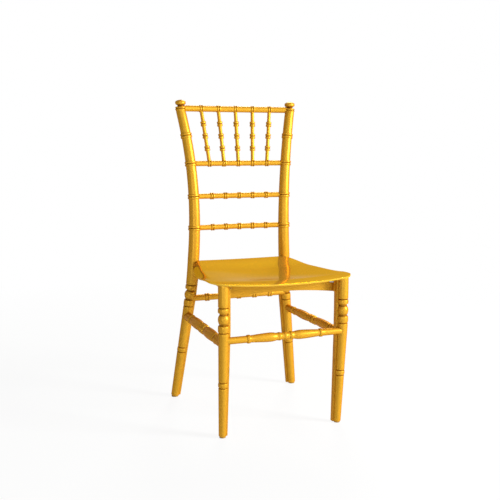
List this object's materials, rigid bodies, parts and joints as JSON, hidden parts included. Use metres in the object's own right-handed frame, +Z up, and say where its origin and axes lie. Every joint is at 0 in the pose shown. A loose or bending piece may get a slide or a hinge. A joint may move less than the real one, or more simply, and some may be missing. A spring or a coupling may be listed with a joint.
{
  "type": "chiavari chair",
  "caption": "Moulded resin chiavari chair with bent ringed back posts, bowed ringed rails and spindles, dished seat, turned legs and turned stretchers.",
  "frame": {"origin": "middle of the chair's outline at floor level", "axes": "+Z up, +Y from the front edge of the seat to the back, +X to the right as seen from the front"},
  "size_m": [0.4214, 0.4558, 0.914],
  "materials": {
    "resin": "gold pearl pigmented injection moulded resin, glossy",
    "glide": "plain moulded foot pad, matt",
    "steel": "zinc plated steel",
    "brass": "plain brass"
  },
  "bodies": {
    "root": {"left_back_post": "resin", "right_back_post": "resin", "left_front_leg": "resin", "right_front_leg": "resin", "top_rail": "resin", "second_rail": "resin", "third_rail": "resin", "fourth_rail": "resin", "spindle_1": "resin", "spindle_2": "resin", "spindle_3": "resin", "spindle_4": "resin", "spindle_5": "resin", "seat_panel": "resin", "front_apron": "resin", "rear_apron": "resin", "left_side_apron": "resin", "right_side_apron": "resin", "left_front_corner_block": "resin", "right_front_corner_block": "resin", "left_rear_corner_block": "resin", "right_rear_corner_block": "resin", "front_stretcher": "resin", "back_stretcher": "resin", "left_side_stretcher": "resin", "right_side_stretcher": "resin", "left_front_glide": "glide", "right_front_glide": "glide", "left_back_glide": "glide", "right_back_glide": "glide", "corner_bolts": "steel", "block_screws": "steel", "seat_screws": "steel", "corner_inserts": "brass"}
  },
  "joints": []
}
